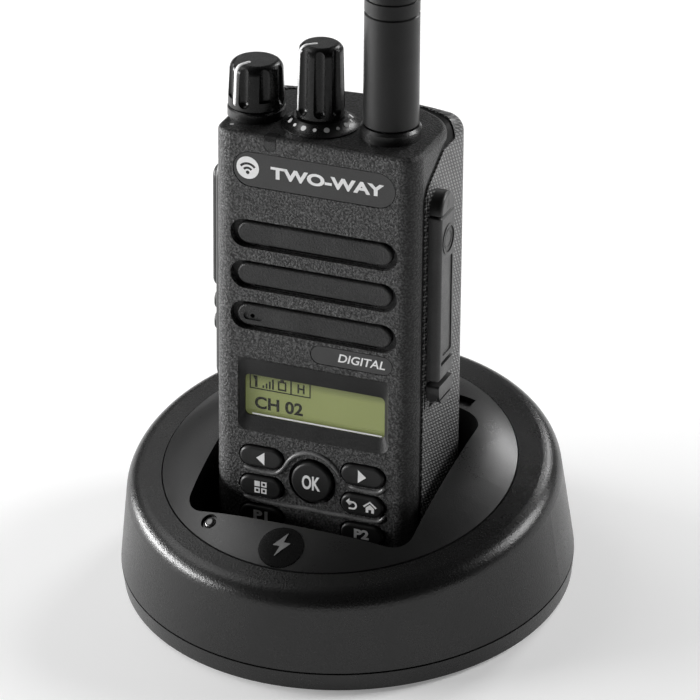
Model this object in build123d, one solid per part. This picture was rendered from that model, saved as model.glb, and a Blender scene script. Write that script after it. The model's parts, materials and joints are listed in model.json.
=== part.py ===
from build123d import *
from math import atan2, cos, degrees, radians, sin, sqrt, tan
import os

# A hand-held two way radio standing in its round desktop charger.
#
# World frame: millimetres, origin on the floor under the charger's centre, +X towards the radio's
# right as seen from the front, -Y to the front, +Z up.
# The radio is drawn in a frame of its own: x across, y back from its face, z up from its foot.
# radio_place then stands it in the charger, leaning back a little.

# ---- the radio as a whole ----
lean_deg = 5.8
radio_foot_y = -24.8
radio_foot_z = 16.2
body_width = 56.0
body_height = 120.0
body_depth = 41.2
side_depth = 37.4
front_corner = 5.0
back_corner = 6.2
shoulder_start = 12.0
shoulder_height = 119.0
shoulder_edge = 4.5
deck_depth = 36.8
deck_side_depth = 25.2
deck_corner = 14.0
top_edge = 1.4
foot_edge = 2.5
wall = 2.0
deck = 2.4
half_width = body_width / 2

# ---- the seam between front housing and rear housing, seen from the side ----
seam_y = 4.4
seam_bend_z = 109.8
seam_rise_y = 20.9
seam_rise_z = 118.8
seam_bend_radius = 7.0
seam_rise_radius = 2.0
seal_width = 2.2
seal_sink = 0.4
deck_plate_drop = 1.2

# ---- the inside, front to back ----
board_front = 8.6
board_back = 9.8
chassis_front = 11.4
chassis_back = 13.0
cavity_back = 19.2
battery_front = 21.5
battery_half = 23.0
battery_inner_half = 21.0
battery_inner_low = 2.6
battery_inner_high = 101.4
battery_top = 104.0
bay_gap = 0.3
cell_room_front = 23.3
cell_room_back = 37.2
cell_gap = 0.3
latch_back = 38.2
latch_half = 7.0
latch_foot = 107.3
latch_head = 111.9
latch_tooth_foot = 102.9
latch_gap = 0.3
upper_bay_floor = 106.5
upper_bay_ceiling = 115.2
screw_spots = [(-21.0, 5.2), (21.0, 5.2), (-21.0, 101.5), (21.0, 101.5)]
board_pin_spots = [(0, 9.0), (0, 14.6), (-9.5, 34.0), (9.5, 34.0)]
can_outlines = [(-13, 13, 70, 98), (-13, -1, 25, 62), (1, 13, 34, 62)]
can_back = 11.2
contact_y = 28.0
contact_xs = [-7.0, 0.0, 7.0]
screw_head = 1.9
screw_shank = 0.93
past = 1.0

# ---- pieces behind the face, as depths from it ----
lens_front = 1.8
lens_back = 2.8
lens_half = 20.6
lens_low = 38.6
lens_high = 52.8
lens_gap = 0.1
glass_front = 2.85
glass_back = 4.1
guide_back = 5.6
key_back = 2.2
flange_back = 2.9
plunger_back = 3.3
dome_front = 4.0
keypad_front = 4.6
keypad_back = 5.4
grille_back = 2.6
magnet_front = 5.9
badge_sink = 0.5
plate_sink = 0.4
plate_gap = 0.2
microphone_x = -17.2
microphone_drop = 0.4

# ---- the face ----
slot_half = 23.0
slot_height = 8.0
slot_pitch = 11.6
slot_middle_z = 80.6
bar_half = 21.3
bar_height = 6.0
bar_face = 0.5
speaker_radius = 18.2
badge_half = 22.3
badge_height = 9.8
badge_z = 110.3
plate_left = -0.8
plate_right = 22.0
plate_z = 61.3
plate_height = 5.4
display_half = 21.0
display_low = 35.7
display_high = 57.0
display_floor = 1.3
window_half = 19.5
window_low = 39.8
window_high = 51.6
key_width = 12.0
key_height = 5.7
key_x = 14.2
key_rows = [28.8, 20.3, 11.8]
ok_z = 24.3
ok_radius = 5.7
key_gap = 0.45
ok_gap = 0.9
key_proud = 0.9
key_flange = 0.6

# ---- the top controls ----
control_y = 13.3
volume_x = -21.2
channel_x = -3.5
antenna_x = 15.7
shaft_radius = 3.0
shaft_bore = 3.06
bushing_radius = 3.8
bushing_gap = 0.2
case_foot = 108.0
shaft_foot = 109.5
control_case = 9.2
knob_lift = 2.9
collar_radius = 7.5
volume_radius = 7.4
volume_top_radius = 6.8
volume_height = 14.9
channel_radius = 6.3
channel_top_radius = 5.75
channel_height = 22.3
flute_count = 8
flute_radius = 1.75
flute_offset = 1.05
flute_foot = 2.6
knob_crown = 2.2
volume_pointer_deg = 27.5
channel_pointer_deg = 49.0
dial_radius = 10.1
dial_height = 2.5
antenna_radius = 7.2
antenna_stud_radius = 2.9
antenna_stud_top = 12.0
antenna_foot = 3.6
antenna_joint = 39.0
antenna_height = 150.0
whip_foot_radius = 7.0
whip_tip_radius = 4.9
jack_radius = 4.5

# ---- the sides ----
cover_front = 8.3
cover_back = 18.2
cover_low = 54.9
cover_high = 101.3
cover_cap_low = 101.9
cover_cap_high = 107.0
cover_stand = 3.7
cover_edge = 0.9
cap_edge = 0.9
latch_low = 47.5
latch_high = 53.7
ptt_low = 70.2
ptt_high = 104.6
ptt_front = 9.5
ptt_back = 18.5
ptt_stand = 4.3
ptt_gap = 0.3
bezel_front = 7.4
bezel_back = 20.6
bezel_low = 44.0
bezel_high = 107.6
bezel_stand = 2.4
side_button_rows = [66.2, 60.2]
side_button_height = 5.2
side_button_stand = 4.0
side_key_back = 28.2
side_pocket_back = 26.9
plunger_tip = 25.9
plunger_y = 14.0
ptt_plungers = [79.0, 96.0]
ptt_plunger_radius = 1.4
button_plunger_radius = 1.0

# ---- the charger ----
base_radius = 60.4
seam_z = 6.8
base_lip = 0.5
base_foot_z = 0.5
base_floor_z = 2.8
wall_taper = 0.12
shell = 2.4
shoulder_radius = 6.0
top_tilt_deg = 5.8
crease_radius = 47.0
crease_y = -3.2
crease_z = 35.5
band_drop = 0.3
band_slope = 0.2
dome_ring = 26.0
dome_crest = 5.3
dome_arc = 43.5
pocket_half = 31.4
pocket_front = -36.4
pocket_back = 20.5
pocket_throat_z = 17.8
pocket_mouth_z = 36.8
pocket_flare_deg = 8.0
pocket_bow = 1.5
pocket_corner = 3.5
pocket_gap = 0.8
pocket_floor = 0.4
pocket_wall = 2.2
foot_ring = 50.0
boss_ring = 54.4
boss_angles = [25, 155, 205, 335]
boss_radius = 3.0
foot_angles = [45, 135, 225, 315]
foot_radius = 5.0
foot_top = 1.4
board_post_spots = [(-18, 30), (-18, 48), (18, 30), (18, 48)]
screw_head_foot = 0.7
screw_head_top = 1.9
insert_radius = 46.9
insert_depth = 4.4
insert_well_radius = 46.0
insert_clip_radius = 49.6
led_radius = 1.6
badge_radius = 6.0
badge_stand = 0.2
badge_depth = 0.8
jack_z = 14.4
jack_face = 59.3
board_seat_z = 8.0
board_thickness = 1.6
boss_top = 25.8
screw_top = 16.8

radio_place = Pos(0, radio_foot_y, radio_foot_z) * Rot(-lean_deg, 0, 0)
crease_place = Pos(0, crease_y, crease_z) * Rot(top_tilt_deg, 0, 0)


# ---- simple shapes ----
def block(x0, x1, y0, y1, z0, z1):
    """A box between two corners."""
    return Pos((x0 + x1) / 2, (y0 + y1) / 2, (z0 + z1) / 2) * Box(x1 - x0, y1 - y0, z1 - z0)


def post(x, y, z0, z1, radius):
    """An upright round rod."""
    return Pos(x, y, (z0 + z1) / 2) * Cylinder(radius, z1 - z0)


def pin(x, z, y0, y1, radius):
    """A round rod from front to back."""
    return Pos(x, (y0 + y1) / 2, z) * Rot(90, 0, 0) * Cylinder(radius, y1 - y0)


def cross_pin(y, z, x0, x1, radius):
    """A round rod from side to side."""
    return Pos((x0 + x1) / 2, y, z) * Rot(0, 90, 0) * Cylinder(radius, x1 - x0)


def face_slab(outline, y0, y1):
    """An outline drawn on the radio's face, made solid from depth y0 to depth y1."""
    return extrude(Plane.XZ.offset(-y1) * outline, y1 - y0)


def side_slab(outline, x0, x1):
    """An outline drawn in y and z, made solid from x0 to x1."""
    return extrude(Plane.YZ.offset(x0) * outline, x1 - x0)


def flat_slab(outline, z0, z1):
    """An outline drawn in plan, made solid from z0 to z1."""
    return extrude(Plane.XY.offset(z0) * outline, z1 - z0)


def pill(x, z, width, height):
    """A round-ended bar as an outline."""
    return Pos(x, z) * SlotOverall(width, height)


def plate_outline(x0, x1, z0, z1, radius):
    """A rectangle with round corners as an outline."""
    return Pos((x0 + x1) / 2, (z0 + z1) / 2) * RectangleRounded(x1 - x0, z1 - z0, radius)


def spun(points):
    """A closed profile of (radius, height) points turned about the upright axis."""
    return revolve(Plane.XZ * make_face(Polyline(*points, close=True)), Axis.Z)


def softened(shape, axis, which, radius):
    """Round all the edges of one end face."""
    return fillet(shape.edges().group_by(axis)[which], radius)


# ---- the radio's body ----
def plan_outline(inset, middle_depth, corner_depth, back_radius):
    """Plan outline with straight sides and a crowned back, moved in by inset."""
    half = half_width - inset
    corner_y = corner_depth - inset
    outline = make_face([
        Line((-half, inset), (half, inset)),
        Line((half, inset), (half, corner_y)),
        ThreePointArc((half, corner_y), (0, middle_depth - inset), (-half, corner_y)),
        Line((-half, corner_y), (-half, inset)),
    ])
    outline = fillet(outline.vertices().group_by(Axis.Y)[0], front_corner - inset)
    return fillet(outline.vertices().group_by(Axis.Y)[-1], back_radius - inset)


def body_outline(inset=0.0):
    """Plan outline of the body below its shoulders."""
    return plan_outline(inset, body_depth, side_depth, back_corner)


def deck_outline(inset=0.0):
    """Plan outline of the top deck, whose back corners are rounder."""
    return plan_outline(inset, deck_depth, deck_side_depth, deck_corner)


def outer_body(inset=0.0):
    """The whole body as one solid, with rounded shoulders behind the deck and a rounded foot."""
    body = softened(flat_slab(body_outline(inset), inset, body_height), Axis.Z, 0, foot_edge)
    top = softened(flat_slab(deck_outline(inset), -1, body_height - inset), Axis.Z, -1, top_edge)
    back_half = body_outline(inset) & Pos(0, shoulder_start + body_depth / 2) * Rectangle(
        body_width, body_depth)
    shoulders = flat_slab(back_half, -1, shoulder_height - inset)
    shoulders = fillet(
        shoulders.edges().group_by(Axis.Z)[-1].sort_by(Axis.Y)[1:], shoulder_edge - inset)
    return body & (top + shoulders)


def inner_space():
    """The hollow inside: shallow in front of the battery, full depth above it."""
    main_bay = flat_slab(deck_outline(wall), wall, body_height - deck)
    main_bay -= block(-half_width, half_width, cavity_back, body_depth, 0, upper_bay_floor)
    return main_bay + flat_slab(body_outline(wall), upper_bay_floor, upper_bay_ceiling)


def front_region(grow=0.0):
    """Everything that belongs to the front housing, with its border moved back by grow."""
    slope = atan2(seam_rise_z - seam_bend_z, seam_rise_y - seam_y)
    drop = grow * (1 / cos(slope) - tan(slope))
    beyond = body_height + 5
    bend = (seam_y + grow, seam_bend_z - drop)
    rise = (seam_rise_y + grow, seam_rise_z - drop)
    side = make_face(Polyline(
        (-5, -5), (bend[0], -5), bend, rise, (rise[0], beyond), (-5, beyond), close=True))
    side = fillet(side.vertices().sort_by_distance((*bend, 0))[0], seam_bend_radius - grow)
    side = fillet(side.vertices().sort_by_distance((*rise, 0))[0], seam_rise_radius + grow)
    deck_plate = flat_slab(deck_outline(-grow), seam_rise_z - deck_plate_drop - grow, beyond)
    return side_slab(side, -half_width - 2, half_width + 2) + deck_plate


def key_outline(x, z, gap=0.0):
    """A key's outline, grown by gap all round. The middle key is round."""
    if x == 0:
        return Pos(x, z) * Circle(ok_radius + gap)
    return pill(x, z, key_width + 2 * gap, key_height + 2 * gap)


def key_opening(x, z):
    """The hole in the front housing that a key comes through."""
    gap = ok_gap if x == 0 else key_gap
    return face_slab(key_outline(x, z, gap), -past, wall + past / 2)


def slot_heights():
    """Heights of the three speaker slots."""
    return [slot_middle_z + step * slot_pitch for step in (1, 0, -1)]


def light_pipe_space(gap=0.0):
    """The tab that carries the status light over the front-top edge."""
    left = -13.6
    right = -10.5
    foot = 116.2
    depth = 3.0
    tab = plate_outline(left - gap, right + gap, foot - gap, body_height + 6, 1.2)
    return face_slab(tab, -past, depth + gap)


def window_outline():
    """Outline of the opening over the display."""
    return plate_outline(-window_half, window_half, window_low, window_high, 1.4)


def lens_outline(gap=0.0):
    """Outline of the display's lens, grown by gap."""
    return plate_outline(-lens_half - gap, lens_half + gap, lens_low - gap, lens_high + gap, 1.0)


def display_recess():
    """The sloped-wall recess in front of the display."""
    rim = plate_outline(-display_half, display_half, display_low, display_high, 3.0)
    return loft([Plane.XZ * rim, Plane.XZ.offset(-display_floor) * window_outline()])


def control_hole(x, radius):
    """A hole through the deck for a shaft bushing or the antenna socket."""
    return post(x, control_y, body_height - deck - past, body_height + past, radius)


def front_housing(outer, front, inside):
    """Face, front corners and top deck in one moulding."""
    pad_half = 22.5
    pad_low = 35.0
    pad_high = 57.5
    screw_boss_radius = 2.2
    screw_boss_floor = 3.0
    screw_boss_bore = 1.0
    board_pin_radius = 0.9
    housing = (outer & front) - inside
    housing += face_slab(plate_outline(-pad_half, pad_half, pad_low, pad_high, 2.0), wall, lens_back)
    for x, z in screw_spots:
        housing += pin(x, z, wall, board_front, screw_boss_radius)
        housing -= pin(x, z, screw_boss_floor, board_front + past, screw_boss_bore)
    for x, z in board_pin_spots:
        housing += pin(x, z, wall, keypad_front, board_pin_radius)
    for x, z in key_places().values():
        housing -= key_opening(x, z)
    for z in slot_heights():
        housing -= face_slab(pill(0, z, 2 * slot_half, slot_height), -past, wall + past / 2)
    housing -= display_recess()
    housing -= face_slab(window_outline(), 0, lens_back + past)
    housing -= face_slab(lens_outline(lens_gap), lens_front, lens_back + past)
    housing -= face_slab(pill(0, badge_z, 2 * badge_half, badge_height), -past, badge_sink)
    housing -= face_slab(model_plate_outline(), -past, plate_sink)
    housing -= light_pipe_space(lens_gap)
    for x in (volume_x, channel_x):
        housing -= control_hole(x, bushing_radius + bushing_gap)
    housing -= control_hole(antenna_x, jack_radius)
    return housing


def rear_housing(outer, front_and_seal, inside):
    """Sides, foot and back, with the battery bay and the openings for the side controls."""
    outside = half_width + past
    groove = block(27.1, outside, 7.3, 8.1, 47.0, 107.6)
    connector_opening = block(25, outside, 9.7, 16.9, 60.0, 99.0)
    latch_opening = block(25, outside, 11.2, 15.3, 46.0, 52.8)
    stem_gap = 0.25
    housing = outer - front_and_seal - inside
    housing -= battery_space(bay_gap)
    housing += cover_cap()
    housing -= groove
    housing -= connector_opening
    housing -= latch_opening
    housing -= side_slab(ptt_outline(ptt_gap), -outside, -side_pocket_back)
    for z in side_button_rows:
        housing -= side_slab(side_button_outline(z, ptt_gap), -outside, -side_pocket_back)
    for z, radius in side_stems():
        housing -= cross_pin(plunger_y, z, -half_width, -25, radius + stem_gap)
    housing -= latch_openings()
    return housing


def body_seal(outer, seam_band, inside):
    """The black gasket that shows as a thin line along the seam."""
    band = outer & seam_band
    return band - inside


# ---- battery and its latch ----
def battery_space(gap=0.0):
    """The bay that the battery fills, open at the foot and the back."""
    bay = plate_outline(-battery_half - gap, battery_half + gap, -20, battery_top + gap, 3.0)
    return face_slab(bay, battery_front - gap, body_depth + 5)


def battery_case(outer):
    """The battery's shell, flush with the radio's back and foot."""
    pad_half = 1.8
    pad_reach = 3.0
    pad_depth = 0.5
    case = outer & battery_space()
    case -= block(
        -battery_inner_half, battery_inner_half, cell_room_front, cell_room_back,
        battery_inner_low, battery_inner_high)
    case -= latch_tooth_hole(battery_inner_high + 1, battery_top + 1)
    for x in contact_xs:
        case -= block(
            x - pad_half, x + pad_half, contact_y - pad_reach, contact_y + pad_reach, -past, pad_depth)
    return case


def battery_cells():
    """Two flat cells side by side."""
    half_split = 0.3
    side_room = 0.4
    end_room = 0.6
    outer_x = battery_inner_half - side_room
    cells = []
    for x0, x1 in [(-outer_x, -half_split), (half_split, outer_x)]:
        cell = block(
            x0, x1, cell_room_front + cell_gap, cell_room_back - cell_gap,
            battery_inner_low + end_room, battery_inner_high - end_room)
        cells.append(fillet(cell.edges().filter_by(Axis.Z), 3.0))
    return Compound(cells)


def battery_contacts():
    """Three charging pads let into the battery's foot."""
    pad_half = 1.7
    pad_reach = 2.9
    pads = [
        block(x - pad_half, x + pad_half, contact_y - pad_reach, contact_y + pad_reach, 0.05, 0.5)
        for x in contact_xs]
    return Compound(pads)


def latch_tooth_hole(z0, z1):
    """Room for the latch tooth between two heights."""
    return block(-3.4, 3.4, latch_back - 1.5, latch_back + 0.4, z0, z1)


def latch_openings():
    """The thumb window in the back wall and the hole that the tooth drops through."""
    half = latch_half + latch_gap
    foot = latch_foot - latch_gap
    window = block(-half, half, latch_back - 0.5, body_depth + 2, foot, 114.2)
    return window + latch_tooth_hole(battery_top, foot + 0.2)


def battery_latch():
    """Thumb slide above the battery, with a tooth that holds the battery in."""
    flange_half = 8.6
    flange_head = 113.0
    tooth_half = 3.0
    rib_half = 5.2
    thumb = face_slab(
        plate_outline(-latch_half, latch_half, latch_foot, latch_head, 1.0), latch_back, body_depth + 0.8)
    flange = block(-flange_half, flange_half, latch_back - 1.3, latch_back, latch_foot, flange_head)
    tooth = block(
        -tooth_half, tooth_half, latch_back - 1.2, latch_back, latch_tooth_foot, latch_foot + 0.7)
    latch = thumb + flange + tooth
    for z in (108.4, 109.6, 110.8):
        latch -= block(-rib_half, rib_half, body_depth + 0.4, body_depth + 2, z - 0.25, z + 0.25)
    return latch


# ---- boards, chassis and screws ----
def screw_holes(radius):
    """Clearance holes for the four screws through board and chassis."""
    return [pin(x, z, board_front - past, chassis_back + past, radius) for x, z in screw_spots]


def main_board():
    """The circuit board that everything plugs into."""
    half = 23.4
    low = 2.6
    high = 105.0
    board = face_slab(plate_outline(-half, half, low, high, 2.0), board_front, board_back)
    for hole in screw_holes(1.25):
        board -= hole
    return board


def shield_cans():
    """Tin covers over the radio circuits on the board."""
    cans = []
    for x0, x1, z0, z1 in can_outlines:
        can = face_slab(plate_outline(x0, x1, z0, z1, 1.0), board_back, can_back)
        cans.append(softened(can, Axis.Y, -1, 0.4))
    return Compound(cans)


def chassis():
    """Cast frame that stiffens the radio and carries heat to the back."""
    frame_half = 21.3
    ear_inner = 18.0
    ear_outer = 23.3
    ear_half = 2.6
    rail_half = 0.8
    frame = block(-frame_half, frame_half, chassis_front, chassis_back, 2.6, 104.8)
    for x, z in screw_spots:
        side = 1 if x > 0 else -1
        left, right = sorted((side * ear_inner, side * ear_outer))
        frame += block(left, right, chassis_front, chassis_back, z - ear_half, z + ear_half)
    for x in (-20.3, 20.3):
        frame += block(x - rail_half, x + rail_half, chassis_back, cavity_back, 12.0, 94.0)
    for z in (40.0, 66.0):
        frame += block(-19.5, 19.5, chassis_back, 16.0, z - rail_half, z + rail_half)
    for x in (-17.0, 17.0):
        for z in (18.0, 66.0, 100.0):
            frame += pin(x, z, board_back, chassis_front, 1.6)
    for hole in screw_holes(1.15):
        frame -= hole
    return frame


def housing_screws():
    """Four screws through the chassis into the front housing's bosses."""
    head_height = 1.3
    drive_depth = 0.7
    screw_tip = 3.4
    screws = []
    for x, z in screw_spots:
        head_top = chassis_back + head_height
        head = softened(pin(x, z, chassis_back, head_top, screw_head), Axis.Y, -1, 0.4)
        drive = pin(x, z, head_top - drive_depth, head_top + drive_depth, 0.8)
        screws.append(head + pin(x, z, screw_tip, chassis_back, screw_shank) - drive)
    return Compound(screws)


# ---- speaker and microphone ----
def speaker_grille():
    """Plate behind the slots, with one raised bar in each and thin sound slits beside it."""
    slit_offset = 3.5
    slit_length = 34.0
    slit_height = 0.7
    port_x = -16.9
    port_depth = 0.45
    grille = face_slab(plate_outline(-22.9, 22.9, 63.6, 97.6, 2.0), wall, grille_back)
    for z in slot_heights():
        bar = face_slab(pill(0, z, 2 * bar_half, bar_height), bar_face, wall)
        grille += softened(bar, Axis.Y, 0, 0.7)
        for side in (-1, 1):
            slit = pill(0, z + side * slit_offset, slit_length, slit_height)
            grille -= face_slab(slit, wall - 0.2, grille_back + 0.4)
    microphone_z = slot_heights()[-1] - microphone_drop
    grille -= face_slab(pill(port_x, microphone_z, 5.4, 2.0), 0, bar_face + port_depth)
    grille -= pin(microphone_x, microphone_z, 0, 4, 0.6)
    return grille


def speaker_turned(points):
    """A profile of (radius, depth) points turned about the speaker's front-to-back axis."""
    return Pos(0, 0, slot_middle_z) * Rot(-90, 0, 0) * spun(points)


def speaker_frame():
    """Pressed basket that holds the cone's rim and the magnet."""
    return speaker_turned([
        (15.6, grille_back), (speaker_radius, grille_back), (speaker_radius, 4.2), (14.0, magnet_front),
        (6.2, magnet_front), (6.2, 5.2), (13.4, 5.2), (15.6, 4.2)])


def speaker_cone():
    """Thin paper cone with its dust cap."""
    return speaker_turned([
        (0, 3.9), (4.6, 4.5), (13.6, 3.2), (15.6, 3.4), (15.6, 3.7), (13.6, 3.5), (4.6, 4.8), (0, 4.2)])


def speaker_magnet():
    """Magnet and voice coil cup behind the basket."""
    return speaker_turned([(0, magnet_front), (8.0, magnet_front), (8.0, 8.2), (7.6, 8.5), (0, 8.5)])


def microphone():
    """Capsule behind the small port in the lowest bar."""
    capsule = pin(microphone_x, slot_heights()[-1] - microphone_drop, grille_back, 4.4, 2.2)
    return softened(capsule, Axis.Y, -1, 0.4)


# ---- display and keypad ----
def display_lens():
    """Clear window in front of the display."""
    return face_slab(lens_outline(), lens_front, lens_back)


def lcd_panel():
    """Display glass on its light guide."""
    glass = face_slab(plate_outline(-21.0, 21.0, 37.5, 54.0, 0.8), glass_front, glass_back)
    guide = face_slab(plate_outline(-21.6, 21.6, 36.9, 54.6, 1.2), glass_back, guide_back)
    return glass + guide


def key_places():
    """Name and place of each key on the face."""
    return {
        "key_left": (-key_x, key_rows[0]),
        "key_menu": (-key_x, key_rows[1]),
        "key_p1": (-key_x, key_rows[2]),
        "key_right": (key_x, key_rows[0]),
        "key_back": (key_x, key_rows[1]),
        "key_p2": (key_x, key_rows[2]),
        "key_ok": (0, ok_z),
    }


def key(x, z):
    """One key: a soft-edged cap, a flange behind the housing and a plunger for its dome."""
    cap = face_slab(key_outline(x, z), -key_proud, key_back)
    cap = softened(cap, Axis.Y, 0, 0.8)
    hole_gap = ok_gap if x == 0 else key_gap
    flange = face_slab(key_outline(x, z, hole_gap + key_flange), key_back, flange_back)
    return cap + flange + pin(x, z, flange_back, plunger_back, 1.2)


def keypad_board():
    """Board behind the keys."""
    return face_slab(plate_outline(-18.5, 18.5, 6.2, 35.2, 1.5), keypad_front, keypad_back)


def dome_switches():
    """One snap dome under each key."""
    domes = []
    for x, z in key_places().values():
        dome = pin(x, z, dome_front, keypad_front, 2.3)
        domes.append(softened(dome, Axis.Y, 0, 0.4))
    return Compound(domes)


# ---- top controls ----
def knob(x, radius, top_radius, top, pointer_deg):
    """A tapered knob with rounded crown and upright flutes that stop short of its foot."""
    crown_wall = 2.4
    bore_gap = 0.01
    height = top - knob_lift
    shape = Pos(0, 0, height / 2) * Cone(radius, top_radius, height)
    shape = softened(shape, Axis.Z, -1, knob_crown)
    shape = softened(shape, Axis.Z, 0, 0.3)
    flute_ring = top_radius + flute_offset
    for step in range(flute_count):
        angle = radians((step + 0.5) * 360 / flute_count)
        centre_x = flute_ring * sin(angle)
        centre_y = -flute_ring * cos(angle)
        shape -= post(centre_x, centre_y, flute_foot, height + past, flute_radius)
        shape -= Pos(centre_x, centre_y, flute_foot) * Sphere(flute_radius)
    shape = Rot(0, 0, -pointer_deg) * shape
    shape -= post(0, 0, -past, height - crown_wall, shaft_radius + bore_gap)
    return Pos(x, control_y, body_height + knob_lift) * shape


def control_shaft(x, high):
    """Round shaft with a chamfered top."""
    shaft = post(x, control_y, shaft_foot, high, shaft_radius)
    return chamfer(shaft.edges().group_by(Axis.Z)[-1], 0.4)


def control_body(x, high):
    """Switch or potentiometer: a case under the deck with a threaded neck through it."""
    neck_height = 2.0
    bore_floor = 1.0
    case = Pos(x, control_y, (case_foot + high) / 2) * Box(control_case, control_case, high - case_foot)
    case = fillet(case.edges().filter_by(Axis.Z), 1.0)
    neck = post(x, control_y, high, body_height + neck_height, bushing_radius)
    return case + neck - post(x, control_y, case_foot + bore_floor, body_height + 3, shaft_bore)


def volume_collar():
    """Plain ring under the volume knob."""
    bore = bushing_radius + bushing_gap
    height = 2.6
    bevel = 0.4
    ring = spun([
        (bore, 0), (collar_radius, 0), (collar_radius, height - bevel),
        (collar_radius - bevel, height), (bore, height)])
    return Pos(volume_x, control_y, body_height) * ring


def channel_dial():
    """Flared ring under the channel knob, which carries the position dots."""
    bore = bushing_radius + bushing_gap
    rim = 0.35
    crest_radius = 6.9
    profile = make_face([
        Line((bore, 0), (dial_radius, 0)),
        Line((dial_radius, 0), (dial_radius, rim)),
        ThreePointArc((dial_radius, rim), (8.3, 1.15), (crest_radius, dial_height)),
        Line((crest_radius, dial_height), (bore, dial_height)),
        Line((bore, dial_height), (bore, 0)),
    ])
    return Pos(channel_x, control_y, body_height) * revolve(Plane.XZ * profile, Axis.Z)


def antenna_base_ring():
    """Collar that the antenna screws down onto."""
    bore = 4.7
    outside = 7.9
    height = 3.3
    bevel_foot = 2.6
    bevel = 0.6
    ring = spun([(bore, 0), (outside, 0), (outside, bevel_foot), (outside - bevel, height), (bore, height)])
    return Pos(antenna_x, control_y, body_height) * ring


def antenna_sleeve():
    """Lower antenna: a long smooth sleeve, then a ring between two grooves."""
    bore = antenna_stud_radius + 0.02
    foot = antenna_foot
    groove = 6.6
    ring = 7.1
    profile = [
        (bore, foot), (antenna_radius - 0.2, foot), (antenna_radius, foot + 0.3),
        (antenna_radius - 0.1, 33.6), (groove, 33.9), (groove, 34.3), (ring, 34.5), (ring, 37.8),
        (groove, 38.0), (groove, antenna_joint), (0, antenna_joint), (0, antenna_stud_top),
        (bore, antenna_stud_top)]
    return Pos(antenna_x, control_y, body_height) * spun(profile)


def antenna_whip():
    """Upper antenna: a slowly tapering rod with a rounded tip."""
    length = antenna_height - antenna_joint
    rod = Pos(0, 0, antenna_joint + length / 2) * Cone(whip_foot_radius, whip_tip_radius, length)
    rod = softened(rod, Axis.Z, -1, 4.2)
    return Pos(antenna_x, control_y, body_height) * rod


def antenna_stud():
    """Threaded stud under the antenna."""
    stud = post(
        antenna_x, control_y, body_height - 7.5, body_height + antenna_stud_top, antenna_stud_radius)
    return chamfer(stud.edges().group_by(Axis.Z)[0], 0.5)


def antenna_jack():
    """Socket in the deck that the stud screws into."""
    bore = antenna_stud_radius + 0.05
    barrel = post(antenna_x, control_y, body_height - 9.5, body_height + 1.5, jack_radius)
    return barrel - post(antenna_x, control_y, body_height - 8.5, body_height + 3, bore)


def status_light_pipe(outer):
    """Clear tab that shows the status light on the front-top edge."""
    return outer & light_pipe_space()


# ---- badges ----
def model_plate_outline(inset=0.0):
    """Outline of the small plate at the lower right of the speaker."""
    width = plate_right - plate_left - 2 * inset
    return pill((plate_left + plate_right) / 2, plate_z, width, plate_height - 2 * inset)


def name_plates():
    """The long plate above the speaker and the small one below it."""
    long_outline = pill(0, badge_z, 2 * (badge_half - plate_gap), badge_height - 2 * plate_gap)
    long_plate = face_slab(long_outline, 0.12, badge_sink)
    small_plate = face_slab(model_plate_outline(plate_gap), 0.1, plate_sink)
    return Compound([long_plate, small_plate])


# ---- push-to-talk side ----
def side_button_outline(z, gap=0.0):
    """Outline of a small side button, grown by gap."""
    front = 9.9
    back = 18.1
    low = z - side_button_height / 2 - gap
    high = z + side_button_height / 2 + gap
    return plate_outline(front - gap, back + gap, low, high, 2.2)


def side_stems():
    """Plungers through the side wall, as (z, radius)."""
    long_key = [(z, ptt_plunger_radius) for z in ptt_plungers]
    return long_key + [(z, button_plunger_radius) for z in side_button_rows]


def ptt_outline(gap=0.0):
    """Outline of the push-to-talk key, grown by gap."""
    return plate_outline(ptt_front - gap, ptt_back + gap, ptt_low - gap, ptt_high + gap, 3.0 + gap)


def ptt_button():
    """Long push-to-talk key with a shallow thumb hollow."""
    hollow_radius = 59.0
    hollow_depth = 0.4
    hollow_z = 88.0
    hollow_width = 5.6
    outer_face = -half_width - ptt_stand
    cap = side_slab(ptt_outline(), outer_face, -side_key_back)
    cap = softened(cap, Axis.X, 0, 1.5)
    hollow_x = outer_face - hollow_radius + hollow_depth
    cap -= Pos(hollow_x, plunger_y, hollow_z) * Rot(90, 0, 0) * Cylinder(hollow_radius, hollow_width)
    for z in ptt_plungers:
        cap += cross_pin(plunger_y, z, -side_key_back, -plunger_tip, ptt_plunger_radius)
    return cap


def side_button(z):
    """Small programmable side key."""
    cap = side_slab(side_button_outline(z), -half_width - side_button_stand, -side_key_back)
    cap = softened(cap, Axis.X, 0, 0.9)
    return cap + cross_pin(plunger_y, z, -side_key_back, -plunger_tip, button_plunger_radius)


def ptt_bezel():
    """Raised frame round the side keys."""
    outline = plate_outline(bezel_front, bezel_back, bezel_low, bezel_high, 5.0)
    outer_face = -half_width - bezel_stand
    frame = side_slab(outline, outer_face, -half_width)
    frame = softened(frame, Axis.X, 0, 1.0)
    frame -= side_slab(ptt_outline(ptt_gap), outer_face - past, -half_width + past)
    for z in side_button_rows:
        frame -= side_slab(side_button_outline(z, ptt_gap), outer_face - past, -half_width + past)
    return frame


def side_switches():
    """Narrow board with one switch behind each plunger."""
    board_outer = -22.7
    switch_outer = -24.4
    switch_half = 1.8
    board = block(board_outer, board_outer + 0.9, 10.4, 18.0, 55.0, 98.0)
    for z, _ in side_stems():
        board += block(
            switch_outer, board_outer, plunger_y - switch_half, plunger_y + switch_half,
            z - switch_half, z + switch_half)
    return board


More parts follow.
